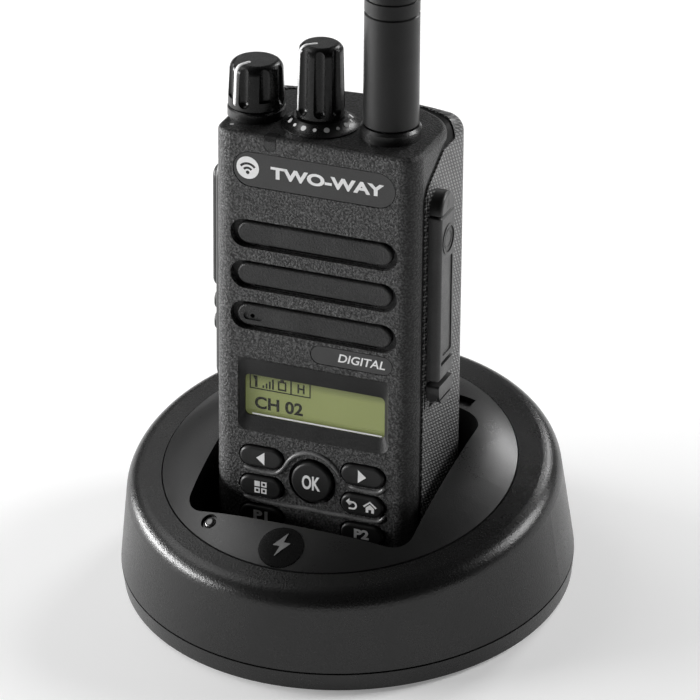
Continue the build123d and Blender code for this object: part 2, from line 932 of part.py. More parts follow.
# ---- accessory connector side ----
def cover_cap_outline():
    """Fixed round-topped block above the connector cover."""
    half = (cover_back - cover_front) / 2
    middle = (cover_front + cover_back) / 2
    straight = cover_cap_high - half - cover_cap_low + 0.001
    lower = Pos(middle, (cover_cap_low + cover_cap_high - half) / 2) * Rectangle(2 * half, straight)
    upper = Pos(middle, cover_cap_high - half) * Circle(half)
    above_split = Pos(middle, cover_cap_low + body_depth / 2) * Rectangle(body_depth, body_depth)
    return (lower + upper) & above_split


def cover_cap():
    """The block above the cover, with a soft outer edge."""
    cap = side_slab(cover_cap_outline(), half_width - 0.5, half_width + cover_stand)
    outer_edges = cap.edges().group_by(Axis.X)[-1]
    return fillet(outer_edges.filter_by(GeomType.CIRCLE), cap_edge)


def connector_cover():
    """Dust cover: a long block with a round emblem, a flat strip and a cross notch."""
    outer_face = half_width + cover_stand
    emblem_y = 13.5
    emblem_z = 93.8
    emblem_radius = 4.1
    emblem_rim = 0.6
    cover = side_slab(
        plate_outline(cover_front, cover_back, cover_low, cover_high, 0.6), side_key_back - 0.05, outer_face)
    cover = fillet(cover.edges().group_by(Axis.X)[-1].filter_by(Axis.Z), cover_edge)
    notch = block(outer_face - 1.6, outer_face + past, 9.6, cover_back + past, 59.1, 60.3)
    strip = side_slab(plate_outline(10.4, 16.6, 61.6, 88.6, 0.8), outer_face - 0.3, outer_face + past)
    cover -= notch
    cover -= strip
    cover += cross_pin(emblem_y, emblem_z, outer_face - 0.5, outer_face + 0.2, emblem_radius)
    cover -= cross_pin(
        emblem_y, emblem_z, outer_face - 0.1, outer_face + past, emblem_radius - emblem_rim)
    return cover


def cover_latch():
    """Round-ended slide that locks the lower end of the cover."""
    half = (cover_back - cover_front) / 2
    middle = (cover_front + cover_back) / 2
    tongue_inner = 25.9
    tongue_outer = 28.2
    upright = latch_high - latch_low - half
    outline = plate_outline(cover_front, cover_back, latch_low, latch_high, 0.6)
    round_end = Pos(middle, latch_low + half) * Circle(half)
    square_end = Pos(middle, latch_high) * Rectangle(2 * half, 2 * upright)
    latch = side_slab(outline & (round_end + square_end), side_key_back - 0.05, half_width + cover_stand)
    latch -= block(30.6, 33, cover_front - past, cover_back + past, 49.4, 50.0)
    tongue = block(tongue_inner, tongue_outer, 11.5, 15.0, 49.5, 52.5)
    flange = block(tongue_inner - 0.9, tongue_inner, 10.2, 16.3, 48.8, 53.4)
    return latch + tongue + flange


def accessory_connector():
    """Socket under the cover, with two rows of contact studs."""
    socket_face = 27.4
    stud_height = 0.3
    stud_pitch = 5.2
    lowest_stud = 66.0
    socket = side_slab(plate_outline(9.8, 16.8, 60.2, 98.8, 1.0), 24.2, socket_face)
    for y in (11.7, 14.9):
        for step in range(6):
            stud_z = lowest_stud + stud_pitch * step
            socket += cross_pin(y, stud_z, socket_face, socket_face + stud_height, 1.1)
    return socket


# ---- the charger ----
def side_wall_solid(inset, low):
    """The charger's tapering drum, moved in by inset, from height low up."""
    top = 60.0
    low_radius = base_radius - wall_taper * (low - seam_z) - inset
    high_radius = base_radius - wall_taper * (top - seam_z) - inset
    return Pos(0, 0, (low + top) / 2) * Cone(low_radius, high_radius, top - low)


def under_band(drop):
    """Everything under the tilted band round the dome, lowered by drop."""
    edge = band_drop + drop
    reach = 90.0
    return crease_place * spun([
        (0, -80), (reach, -80), (reach, -edge - band_slope * (reach - crease_radius)),
        (crease_radius, -edge), (0, -edge)])


def charger_drum(inset, low, shoulder):
    """The charger's outer form with its rounded shoulder, moved in by inset."""
    drum = side_wall_solid(inset, low) & under_band(inset)
    rim = drum.edges().filter_by(GeomType.CIRCLE, reverse=True).sort_by(SortBy.LENGTH)[-1]
    return fillet(rim, shoulder)


def ring_spots(ring, angles):
    """Points in plan at the given angles round a ring."""
    return [(ring * cos(radians(angle)), ring * sin(radians(angle))) for angle in angles]


def charger_housing():
    """Round outer housing: drum wall, rounded shoulder and tilted band, open in the middle."""
    crease_gap = 0.25
    boss_bore = 1.45
    inlet_hole = 4.3
    drum = charger_drum(0, seam_z, shoulder_radius)
    housing = drum - charger_drum(shell, seam_z - past, shoulder_radius - shell)
    housing -= crease_place * post(0, 0, -60, 20, crease_radius + crease_gap)
    for x, y in ring_spots(boss_ring, boss_angles):
        housing += drum & post(x, y, seam_z, boss_top, boss_radius)
        housing -= post(x, y, seam_z - past, screw_top + 2, boss_bore)
    housing -= pin(0, jack_z, 50, 70, inlet_hole)
    return housing


def charger_base_plate():
    """Shallow tray that closes the charger from below."""
    rebate = base_radius - 1.1
    tray_wall = 1.2
    screw_hole = 1.55
    head_hole = 2.8
    board_post = 2.0
    plate = spun([
        (0, base_foot_z), (base_radius - 1.6, base_foot_z), (base_radius - 0.5, 1.3),
        (base_radius, seam_z - base_lip), (rebate, seam_z - base_lip), (rebate, seam_z),
        (rebate - tray_wall, seam_z), (rebate - tray_wall - 0.3, base_floor_z), (0, base_floor_z)])
    for x, y in ring_spots(foot_ring, foot_angles):
        plate -= post(x, y, 0, foot_top, foot_radius + 0.1)
    for x, y in ring_spots(boss_ring, boss_angles):
        plate += post(x, y, base_floor_z, seam_z, boss_radius)
        plate -= post(x, y, 0, seam_z + past, screw_hole)
        plate -= post(x, y, 0, screw_head_top, head_hole)
    for x, y in board_post_spots:
        plate += post(x, y, base_floor_z, board_seat_z, board_post)
    return plate


def charger_feet():
    """Four rubber feet let into the base plate."""
    feet = []
    for x, y in ring_spots(foot_ring, foot_angles):
        feet.append(softened(post(x, y, 0, foot_top, foot_radius), Axis.Z, 0, 0.4))
    return Compound(feet)


def charger_screws():
    """Four screws from below into the housing's bosses."""
    head_radius = 2.6
    drive_top = 1.3
    drive_radius = 1.0
    shank_radius = 1.38
    screws = []
    for x, y in ring_spots(boss_ring, boss_angles):
        head = post(x, y, screw_head_foot, screw_head_top, head_radius)
        head -= post(x, y, 0, drive_top, drive_radius)
        screws.append(head + post(x, y, screw_head_top, screw_top, shank_radius))
    return Compound(screws)


def dome_solid(lift, radius, depth):
    """Everything under the domed surface, raised by lift, out to a radius, down to -depth."""
    crest = dome_crest + lift
    arc = dome_arc + lift
    centre = dome_crest - dome_arc
    edge = centre + sqrt(arc ** 2 - (radius - dome_ring) ** 2)
    half_way = (radius + dome_ring) / 2
    half_height = centre + sqrt(arc ** 2 - (half_way - dome_ring) ** 2)
    profile = make_face([
        Line((0, -depth), (radius, -depth)),
        Line((radius, -depth), (radius, edge)),
        ThreePointArc((radius, edge), (half_way, half_height), (dome_ring, crest)),
        Line((dome_ring, crest), (0, crest)),
        Line((0, crest), (0, -depth)),
    ])
    return crease_place * revolve(Plane.XZ * profile, Axis.Z)


def pocket_socket(grow=0.0):
    """The close-fitting lower pocket, which leans with the radio."""
    socket = flat_slab(body_outline(-pocket_gap - grow), -pocket_floor - grow, 45)
    return radio_place * socket


def pocket_mouth(grow=0.0):
    """The wider upper pocket, which flares towards the dome and bows forward in front."""
    narrowing = (pocket_mouth_z - pocket_throat_z) * tan(radians(pocket_flare_deg))
    half = pocket_half - narrowing + grow
    front = pocket_front + narrowing - grow
    back = pocket_back - narrowing + grow
    throat = make_face([
        Line((-half, back), (half, back)),
        Line((half, back), (half, front)),
        ThreePointArc((half, front), (0, front - pocket_bow), (-half, front)),
        Line((-half, front), (-half, back)),
    ])
    throat = fillet(throat.vertices(), pocket_corner + grow)
    return extrude(Plane.XY.offset(pocket_throat_z - grow) * throat, 34, taper=-pocket_flare_deg)


def dome_spot(x, y):
    """Frame on the domed surface at a place in plan, with its z axis square to the surface."""
    ring = sqrt(x ** 2 + y ** 2)
    out = ring - dome_ring
    height = dome_crest - dome_arc + sqrt(dome_arc ** 2 - out ** 2)
    tilt = degrees(atan2(out, sqrt(dome_arc ** 2 - out ** 2)))
    around = degrees(atan2(y, x))
    return crease_place * Pos(x, y, height) * Rot(0, 0, around) * Rot(0, tilt, 0)


badge_spot = dome_spot(0, -41.3)
led_spot = dome_spot(-22.3, -36.2)


def pocket_insert():
    """Domed middle with the radio's pocket, clipped under the housing."""
    inner_radius = insert_radius - 2.3
    clip_top = -3.35
    badge_gap = 0.1
    led_rim = 2.3
    led_bore = 1.65
    notch_x = 24.5
    notch_half = 2.2
    notch_depth = 1.6
    dome = dome_solid(0, insert_radius, insert_depth) - dome_solid(-shell, inner_radius, insert_depth + 1.6)
    dome += crease_place * spun([
        (inner_radius, -insert_depth), (insert_clip_radius, -insert_depth),
        (insert_clip_radius, clip_top), (inner_radius, clip_top)])
    well = pocket_socket(pocket_wall) + pocket_mouth(pocket_wall)
    well &= dome_solid(0, insert_well_radius, 40.0)
    insert = dome + well - pocket_socket() - pocket_mouth()
    badge_seat = badge_spot * post(0, 0, -5, 5, badge_radius + badge_gap)
    insert -= badge_seat - dome_solid(-badge_depth, insert_well_radius, 20.0)
    insert -= led_spot * post(0, 0, -badge_depth, 5, led_rim)
    insert -= led_spot * post(0, 0, -6, 5, led_bore)
    notch = block(notch_x - notch_half, notch_x + notch_half, 22.8, 28.0, 30, 60)
    notch -= dome_solid(-notch_depth, insert_well_radius, 20.0)
    insert -= notch
    insert -= mirror(notch, Plane.YZ)
    for x in contact_xs:
        insert -= radio_place * post(x, contact_y, -4, 1, 0.95)
    return insert


def charger_badge():
    """Thin round badge that follows the dome."""
    disc = badge_spot * post(0, 0, -5, 5, badge_radius)
    raised = dome_solid(badge_stand, insert_radius - 0.4, 20.0)
    return disc & (raised - dome_solid(-badge_depth, insert_well_radius, 25.0))


def charger_led():
    """Charge indicator: a small bead in a round recess."""
    bead = softened(post(0, 0, -3.4, -0.1, led_radius), Axis.Z, -1, 0.9)
    return led_spot * bead


def charger_contacts():
    """Sprung pins through the pocket's floor."""
    needle_top = -0.12
    needle_foot = -3.4
    needle_radius = 0.85
    pin_foot_radius = 1.7
    pins = []
    for x in contact_xs:
        needle = softened(post(x, contact_y, needle_foot, needle_top, needle_radius), Axis.Z, -1, 0.4)
        pins.append(radio_place * (needle + post(x, contact_y, -4.4, -2.8, pin_foot_radius)))
    return Compound(pins)


def charger_board():
    """Charging circuit on posts behind the pocket."""
    board = plate_outline(-22, 22, 26, 52, 1.5)
    return flat_slab(board, board_seat_z, board_seat_z + board_thickness)


def charger_dc_jack():
    """Power inlet: a case on the board with a round barrel through the back wall."""
    case_half = 4.8
    case_height = 9.6
    case_back = 56.5
    bore_front = 50.0
    case_low = board_seat_z + board_thickness
    case = block(-case_half, case_half, 44.0, case_back, case_low, case_low + case_height)
    barrel = pin(0, jack_z, case_back, jack_face, 4.0)
    inlet = case + barrel - pin(0, jack_z, bore_front, jack_face + 1.7, 2.8)
    return inlet + pin(0, jack_z, bore_front, jack_face - 0.8, 1.0)


# ---- putting it together ----
def radio_parts():
    """Every piece of the radio, in the radio's own frame."""
    outer = outer_body()
    inside = inner_space()
    front = front_region()
    front_and_seal = front_region(seal_width)
    parts = {
        "front_housing": front_housing(outer, front, inside),
        "rear_housing": rear_housing(outer, front_and_seal, inside),
        "body_seal": body_seal(outer_body(seal_sink), front_and_seal - front, inside),
        "battery_case": battery_case(outer),
        "battery_cells": battery_cells(),
        "battery_contacts": battery_contacts(),
        "battery_latch": battery_latch(),
        "main_board": main_board(),
        "shield_cans": shield_cans(),
        "chassis": chassis(),
        "housing_screws": housing_screws(),
        "speaker_grille": speaker_grille(),
        "speaker_frame": speaker_frame(),
        "speaker_cone": speaker_cone(),
        "speaker_magnet": speaker_magnet(),
        "microphone": microphone(),
        "display_lens": display_lens(),
        "lcd_panel": lcd_panel(),
        "keypad_board": keypad_board(),
        "dome_switches": dome_switches(),
        "volume_knob": knob(volume_x, volume_radius, volume_top_radius, volume_height, volume_pointer_deg),
        "volume_shaft": control_shaft(volume_x, 131.0),
        "volume_pot": control_body(volume_x, 115.0),
        "volume_collar": volume_collar(),
        "channel_knob": knob(
            channel_x, channel_radius, channel_top_radius, channel_height, channel_pointer_deg),
        "channel_shaft": control_shaft(channel_x, 138.5),
        "channel_switch": control_body(channel_x, 115.6),
        "channel_dial": channel_dial(),
        "antenna_base_ring": antenna_base_ring(),
        "antenna_sleeve": antenna_sleeve(),
        "antenna_whip": antenna_whip(),
        "antenna_stud": antenna_stud(),
        "antenna_jack": antenna_jack(),
        "status_light_pipe": status_light_pipe(outer),
        "name_plates": name_plates(),
        "ptt_button": ptt_button(),
        "ptt_bezel": ptt_bezel(),
        "side_button_upper": side_button(side_button_rows[0]),
        "side_button_lower": side_button(side_button_rows[1]),
        "side_switches": side_switches(),
        "connector_cover": connector_cover(),
        "cover_latch": cover_latch(),
        "accessory_connector": accessory_connector(),
    }
    for name, place in key_places().items():
        parts[name] = key(*place)
    return parts


def charger_parts():
    """Every piece of the charger, in the world frame."""
    return {
        "charger_housing": charger_housing(),
        "charger_base_plate": charger_base_plate(),
        "pocket_insert": pocket_insert(),
        "charger_feet": charger_feet(),
        "charger_screws": charger_screws(),
        "charger_board": charger_board(),
        "charger_dc_jack": charger_dc_jack(),
        "charger_contacts": charger_contacts(),
        "charger_badge": charger_badge(),
        "charger_led": charger_led(),
    }


os.makedirs("parts", exist_ok=True)
for name, shape in charger_parts().items():
    export_step(shape, f"parts/{name}.step")
for name, shape in radio_parts().items():
    export_step(radio_place * shape, f"parts/{name}.step")
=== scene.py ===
"""Looks for the two way radio in its desktop charger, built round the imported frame. Units are metres."""

import json
from math import atan2, cos, pi, radians, sin

import bpy
from mathutils import Matrix, Vector
from mathutils.bvhtree import BVHTree


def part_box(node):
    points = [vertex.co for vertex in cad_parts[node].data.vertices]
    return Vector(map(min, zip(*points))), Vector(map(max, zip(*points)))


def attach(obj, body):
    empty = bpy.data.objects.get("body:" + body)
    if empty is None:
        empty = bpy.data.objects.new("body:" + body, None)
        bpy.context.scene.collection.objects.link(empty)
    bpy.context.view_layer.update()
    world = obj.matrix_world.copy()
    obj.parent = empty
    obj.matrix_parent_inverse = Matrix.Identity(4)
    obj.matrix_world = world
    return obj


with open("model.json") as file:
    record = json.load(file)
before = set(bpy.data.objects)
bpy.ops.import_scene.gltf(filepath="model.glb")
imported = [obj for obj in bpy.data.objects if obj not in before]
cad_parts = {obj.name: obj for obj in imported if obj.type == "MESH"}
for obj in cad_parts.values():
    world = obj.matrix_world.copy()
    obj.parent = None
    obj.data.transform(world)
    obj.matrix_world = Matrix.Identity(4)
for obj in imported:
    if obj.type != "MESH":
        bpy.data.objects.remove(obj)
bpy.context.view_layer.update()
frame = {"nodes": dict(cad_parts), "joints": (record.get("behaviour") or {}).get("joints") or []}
nodes = frame["nodes"]
joints = {joint["name"]: joint for joint in frame["joints"]}

MM = 0.001

# ---- the radio's own frame: x across, y back from its face, z up from its foot ----
lift_axis = Vector(joints["radio_lift"]["axis"])
lean = atan2(lift_axis.y, lift_axis.z)
lift_depth = 18.0  # the lift joint stands this far behind the face, at the foot's height
backwards = Vector((0.0, cos(lean), -sin(lean)))
radio_foot = Vector(joints["radio_lift"]["pos_m"]) - backwards * lift_depth * MM
radio_frame = Matrix.Translation(radio_foot) @ Matrix.Rotation(-lean, 4, "X")
to_radio = radio_frame.inverted()

# ---- where things are on the radio, in millimetres of its own frame ----
side_x = 28.0
badge_z = 110.3
badge_surface = 0.12
plate_surface = 0.1
window_low = 39.8
window_high = 51.6
lcd_surface = 2.85
key_surface = -0.9
deck_z = 120.0
recess_half = 21.0
recess_low = 35.7
recess_high = 57.0
recess_fade = 0.4
ink = 0.02


def local_box(node):
    """Lowest and highest corner of a CAD node in the radio's own frame, in millimetres."""
    points = [to_radio @ vertex.co / MM for vertex in nodes[node].data.vertices]
    low = Vector([min(point[axis] for point in points) for axis in range(3)])
    high = Vector([max(point[axis] for point in points) for axis in range(3)])
    return low, high


def middle(node):
    """Centre of a CAD node's box in the radio's own frame, in millimetres."""
    low, high = local_box(node)
    return (low + high) / 2


control_y = middle("volume_shaft").y


# ---- node materials ----
def add(tree, kind, inputs=None, **settings):
    """One shader node. An input given as a socket is linked, and any other is set on the node."""
    made = tree.nodes.new(kind)
    for key, value in settings.items():
        setattr(made, key, value)
    for key, value in (inputs or {}).items():
        if isinstance(value, bpy.types.NodeSocket):
            tree.links.new(value, made.inputs[key])
        else:
            made.inputs[key].default_value = value
    return made


def shade(level, tint=(1.0, 1.0, 1.0)):
    """A grey of a given linear level with a slight tint, as a colour."""
    return (level * tint[0], level * tint[1], level * tint[2], 1.0)


def math_node(tree, operation, first, second=0.0):
    """The output of one arithmetic node."""
    return add(tree, "ShaderNodeMath", {0: first, 1: second}, operation=operation).outputs[0]


def noise(tree, vector, size, detail=2.0, roughness=0.55):
    """Noise whose features are about size metres across."""
    settings = {"Vector": vector, "Scale": 1.0 / size, "Detail": detail, "Roughness": roughness}
    return add(tree, "ShaderNodeTexNoise", settings).outputs["Fac"]


def remap(tree, value, low, high, to_low, to_high):
    """value brought from one range to another."""
    settings = {"Value": value, "From Min": low, "From Max": high, "To Min": to_low, "To Max": to_high}
    return add(tree, "ShaderNodeMapRange", settings).outputs[0]


def blended(tree, factor, first, second):
    """A colour between two others."""
    first_colour, second_colour, mixed_colour = 6, 7, 2  # places of the Mix node's colour sockets
    inputs = {"Factor": factor, first_colour: first, second_colour: second}
    return add(tree, "ShaderNodeMix", inputs, data_type="RGBA").outputs[mixed_colour]


def bare_material(name, specular=0.5, metallic=0.0, coat=0.0, coat_roughness=0.1):
    """A node material with its shader, and the place of each point in the object's own space."""
    material = bpy.data.materials.new(name)
    material.use_nodes = True
    tree = material.node_tree
    shader = tree.nodes["Principled BSDF"]
    shader.inputs["Specular IOR Level"].default_value = specular
    shader.inputs["Metallic"].default_value = metallic
    shader.inputs["Coat Weight"].default_value = coat
    shader.inputs["Coat Roughness"].default_value = coat_roughness
    place = add(tree, "ShaderNodeTexCoord").outputs["Object"]
    return material, tree, shader, place


def bump(tree, height, distance):
    """A bump of a real height in metres."""
    inputs = {"Height": height, "Distance": distance, "Strength": 1.0}
    return add(tree, "ShaderNodeBump", inputs).outputs["Normal"]


def moulded(name, dark, light, rough=0.45, rough_spread=0.08, grain=0.4, depth=0.03, mottle=7.0,
            tint=(1.0, 1.0, 1.0), **shader_values):
    """A moulded or pressed surface: mottled colour, uneven gloss and a fine grain. Sizes in millimetres."""
    material, tree, shader, place = bare_material(name, **shader_values)
    patches = noise(tree, place, mottle * MM, 3.0)
    speckle = noise(tree, place, grain * MM, 2.0, 0.6)
    share = 0.5
    broad = remap(tree, patches, 0.3, 0.7, 0.0, 1.0)
    fine = remap(tree, speckle, 0.35, 0.65, 0.0, 1.0)
    mottled = math_node(tree, "ADD", math_node(tree, "MULTIPLY", broad, share),
                        math_node(tree, "MULTIPLY", fine, share))
    colour = blended(tree, mottled, shade(dark, tint), shade(light, tint))
    tree.links.new(colour, shader.inputs["Base Color"])
    gloss = remap(tree, mottled, 0.0, 1.0, rough + rough_spread, rough - rough_spread)
    tree.links.new(gloss, shader.inputs["Roughness"])
    tree.links.new(bump(tree, speckle, depth * MM), shader.inputs["Normal"])
    return material


def radio_axes(tree, place):
    """Across, back and up on the radio, in metres from its foot, as three sockets."""
    own = add(tree, "ShaderNodeMapping", {
        "Vector": place, "Location": radio_foot, "Rotation": (-lean, 0.0, 0.0)}, vector_type="TEXTURE")
    return add(tree, "ShaderNodeSeparateXYZ", {0: own.outputs[0]}).outputs


def face_shell():
    """The front housing: coarse sparkling grain on the face, smooth in the display recess, darker deck."""
    patch_size = 9.0
    fleck_size = 0.55
    fleck_height = 0.30
    recess_grain = 0.15
    fleck_shade = 0.095
    bevel_start = side_x - 4.5
    bevel_fade = 2.0
    bevel_flecks = 0.3
    material, tree, shader, place = bare_material("face_shell", specular=0.3)
    axes = radio_axes(tree, place)
    out = math_node(tree, "ABSOLUTE", axes["X"])
    from_middle = math_node(tree, "SUBTRACT", axes["Z"], (recess_low + recess_high) / 2 * MM)
    up = math_node(tree, "ABSOLUTE", from_middle)
    beyond_side = remap(tree, out, (recess_half - recess_fade) * MM, recess_half * MM, 0.0, 1.0)
    half_height = (recess_high - recess_low) / 2
    beyond_rim = remap(tree, up, (half_height - recess_fade) * MM, half_height * MM, 0.0, 1.0)
    grained = math_node(tree, "MAXIMUM", beyond_side, beyond_rim)
    on_deck = remap(tree, axes["Z"], (deck_z - 0.5) * MM, (deck_z - 0.1) * MM, 0.0, 1.0)
    patches = remap(tree, noise(tree, place, patch_size * MM, 3.0), 0.3, 0.7, 0.0, 1.0)
    speckle = noise(tree, place, fleck_size * MM, 2.0, 0.6)
    fleck = math_node(tree, "MULTIPLY", remap(tree, speckle, 0.42, 0.68, 0.0, 1.0), grained)
    ground = blended(tree, patches, shade(0.010), shade(0.016))
    bevel_end = bevel_start + bevel_fade
    right_edge = remap(tree, axes["X"], bevel_start * MM, bevel_end * MM, 1.0, bevel_flecks)
    flecked = blended(tree, math_node(tree, "MULTIPLY", fleck, right_edge), ground, shade(fleck_shade))
    deck = blended(tree, fleck, shade(0.003), shade(0.030))
    tree.links.new(blended(tree, on_deck, flecked, deck), shader.inputs["Base Color"])
    tree.links.new(remap(tree, speckle, 0.3, 0.7, 0.52, 0.34), shader.inputs["Roughness"])
    depth = remap(tree, grained, 0.0, 1.0, recess_grain, 1.0)
    height = math_node(tree, "MULTIPLY", speckle, depth)
    tree.links.new(bump(tree, height, fleck_height * MM), shader.inputs["Normal"])
    return material


def grid_shell():
    """The rear shell: a fine lattice of two slanting families of grooves that runs round sides and back."""
    lattice = ((radians(-60.0), 1.4), (radians(-15.0), 0.95))  # slant and pitch of each family
    smooth_from = side_x + 0.3
    patch_size = 6.0
    grain_size = 0.3
    grain_share = 0.15
    groove_depth = 0.16
    cell_shade = 0.170
    material, tree, shader, place = bare_material("grid_shell", specular=0.6)
    axes = radio_axes(tree, place)
    out = math_node(tree, "ABSOLUTE", axes["X"])
    around = math_node(tree, "SUBTRACT", axes["Y"], out)
    families = []
    for angle, pitch in lattice:
        across = math_node(
            tree, "SUBTRACT",
            math_node(tree, "MULTIPLY", axes["Z"], cos(angle)),
            math_node(tree, "MULTIPLY", around, sin(angle)))
        turns = math_node(tree, "MULTIPLY", across, 2 * pi / (pitch * MM))
        wave = math_node(tree, "SINE", turns)
        families.append(remap(tree, wave, -0.9, 0.5, 0.0, 1.0))
    cells = math_node(tree, "MULTIPLY", families[0], families[1])
    on_shell = remap(tree, out, (smooth_from - 0.1) * MM, smooth_from * MM, 1.0, 0.0)
    cells = math_node(tree, "MULTIPLY", cells, on_shell)
    patches = noise(tree, place, patch_size * MM, 3.0)
    speckle = noise(tree, place, grain_size * MM)
    ground = blended(tree, patches, shade(0.012), shade(0.020))
    colour = blended(tree, cells, ground, shade(cell_shade))
    tree.links.new(colour, shader.inputs["Base Color"])
    tree.links.new(remap(tree, patches, 0.2, 0.8, 0.46, 0.34), shader.inputs["Roughness"])
    height = math_node(tree, "ADD", cells, math_node(tree, "MULTIPLY", speckle, grain_share))
    tree.links.new(bump(tree, height, groove_depth * MM), shader.inputs["Normal"])
    return material


def lit_display():
    """The display's yellow-green ground, glowing faintly, with painted shade darkening it towards its top
    edge.
    """
    painted_shade_height = 3.0
    glow = 0.35
    material, tree, shader, place = bare_material("display_ground", specular=0.3)
    height = radio_axes(tree, place)["Z"]
    # painted shade: the dark colour near the top stands in for the shadow of the window's recess edge on the
    # display
    painted_top_shade = remap(tree, height, window_high * MM, (window_high - painted_shade_height) * MM, 0.0, 1.0)
    patches = noise(tree, place, 9 * MM)
    ground = blended(tree, patches, (0.27, 0.305, 0.118, 1.0), (0.305, 0.34, 0.138, 1.0))
    colour = blended(tree, painted_top_shade, (0.10, 0.11, 0.05, 1.0), ground)
    tree.links.new(colour, shader.inputs["Base Color"])
    tree.links.new(colour, shader.inputs["Emission Color"])
    shader.inputs["Emission Strength"].default_value = glow
    shader.inputs["Roughness"].default_value = 0.5
    return material


def clear_window(name, alpha, rough, level):
    """A clear or smoked plastic that lets what lies behind it show."""
    material, tree, shader, place = bare_material(name)
    haze = noise(tree, place, 4 * MM)
    tree.links.new(blended(tree, haze, shade(level * 0.8), shade(level)), shader.inputs["Base Color"])
    tree.links.new(remap(tree, haze, 0.2, 0.8, rough, rough * 1.6), shader.inputs["Roughness"])
    shader.inputs["Alpha"].default_value = alpha
    return material


def printed_circuit():
    """Green board with tinned pads and tracks."""
    material, tree, shader, place = bare_material("circuit_board")
    tracks = add(tree, "ShaderNodeTexBrick", {
        "Vector": place, "Scale": 1 / (6 * MM), "Mortar Size": 0.03,
        "Color1": (0.01, 0.09, 0.03, 1.0), "Color2": (0.008, 0.07, 0.025, 1.0),
        "Mortar": (0.02, 0.16, 0.05, 1.0)}).outputs["Color"]
    grain = noise(tree, place, 1 * MM)
    tree.links.new(tracks, shader.inputs["Base Color"])
    tree.links.new(remap(tree, grain, 0.2, 0.8, 0.3, 0.5), shader.inputs["Roughness"])
    tree.links.new(bump(tree, grain, 0.02 * MM), shader.inputs["Normal"])
    return material


finishes = {
    "face_shell": face_shell(),
    "grid_shell": grid_shell(),
    "plate_satin": moulded("plate_satin", 0.020, 0.034, rough=0.36, grain=0.25, depth=0.012),
    "seal_rubber": moulded("seal_rubber", 0.001, 0.003, rough=0.6, grain=0.3, depth=0.01, specular=0.15),
    "deck_trim": moulded("deck_trim", 0.004, 0.010, rough=0.30, grain=0.35, depth=0.03),
    "knob_rubber": moulded(
        "knob_rubber", 0.003, 0.007, rough=0.28, grain=0.22, depth=0.008, mottle=4.0, specular=0.3),
    "antenna_rubber": moulded(
        "antenna_rubber", 0.006, 0.012, rough=0.36, grain=0.22, depth=0.008, mottle=12.0, specular=0.3),
    "black_gloss": moulded(
        "black_gloss", 0.004, 0.008, rough=0.16, rough_spread=0.04, grain=0.5, depth=0.003, specular=0.2),
    "key_rubber": moulded(
        "key_rubber", 0.006, 0.014, rough=0.42, grain=0.3, depth=0.014, mottle=4.0, specular=0.3),
    "cover_rubber": moulded("cover_rubber", 0.026, 0.044, rough=0.42, grain=0.35, depth=0.02, mottle=5.0),
    # ridges: the grain is their own, and the pale colour is a painted highlight for the light the ridges
    # catch
    "ridge_grain_painted_highlight": moulded("ridge_grain_painted_highlight", 0.03, 0.16, rough=0.38, grain=0.5, depth=0.05),
    "grille": moulded(
        "grille", 0.005, 0.030, rough=0.42, grain=0.5, depth=0.16, mottle=8.0, specular=0.35),
    "charger_shell": moulded(
        "charger_shell", 0.004, 0.009, rough=0.29, rough_spread=0.05, grain=0.5, depth=0.07, mottle=14.0,
        specular=0.42),
    "charger_dome": moulded("charger_dome", 0.007, 0.013, rough=0.33, grain=0.4, depth=0.02, mottle=16.0),
    "rubber_feet": moulded("rubber_feet", 0.008, 0.014, rough=0.7, grain=0.5, depth=0.03),
    "display_ground": lit_display(),
    "clear_lens": clear_window("clear_lens", 0.12, 0.06, 0.02),
    "light_pipe": clear_window("light_pipe", 0.85, 0.18, 0.03),
    "indicator": moulded(
        "indicator", 0.02, 0.05, rough=0.12, rough_spread=0.03, grain=0.6, depth=0.004, coat=0.6),
    "circuit_board": printed_circuit(),
    "gold_contact": moulded(
        "gold_contact", 0.45, 0.6, rough=0.25, grain=0.2, depth=0.004, tint=(1.0, 0.72, 0.32), metallic=1.0),
    "shaft_steel": moulded("shaft_steel", 0.35, 0.5, rough=0.3, grain=0.3, depth=0.006, metallic=1.0),
    "screw_steel": moulded("screw_steel", 0.28, 0.45, rough=0.32, grain=0.3, depth=0.008, metallic=1.0),
    "cast_frame": moulded("cast_frame", 0.3, 0.42, rough=0.5, grain=0.5, depth=0.03, metallic=1.0),
    "cell_wrap": moulded("cell_wrap", 0.05, 0.09, rough=0.35, grain=0.8, depth=0.02, tint=(0.4, 0.7, 1.0)),
    "speaker_metal": moulded("speaker_metal", 0.2, 0.32, rough=0.4, grain=0.4, depth=0.01, metallic=1.0),
    "speaker_paper": moulded("speaker_paper", 0.02, 0.04, rough=0.8, grain=0.6, depth=0.04),
    "control_case": moulded("control_case", 0.25, 0.4, rough=0.4, grain=0.4, depth=0.01, metallic=1.0),
    "white_ink": moulded("white_ink", 0.62, 0.80, rough=0.5, rough_spread=0.05, grain=0.15, depth=0.004),
    "grey_ink": moulded("grey_ink", 0.10, 0.16, rough=0.35, rough_spread=0.05, grain=0.15, depth=0.004),
    "black_ink": moulded("black_ink", 0.002, 0.004, rough=0.4, grain=0.15, depth=0.004),
    "lcd_ink": moulded("lcd_ink", 0.010, 0.018, rough=0.5, grain=0.2, depth=0.002, tint=(1.0, 1.05, 0.7)),
}

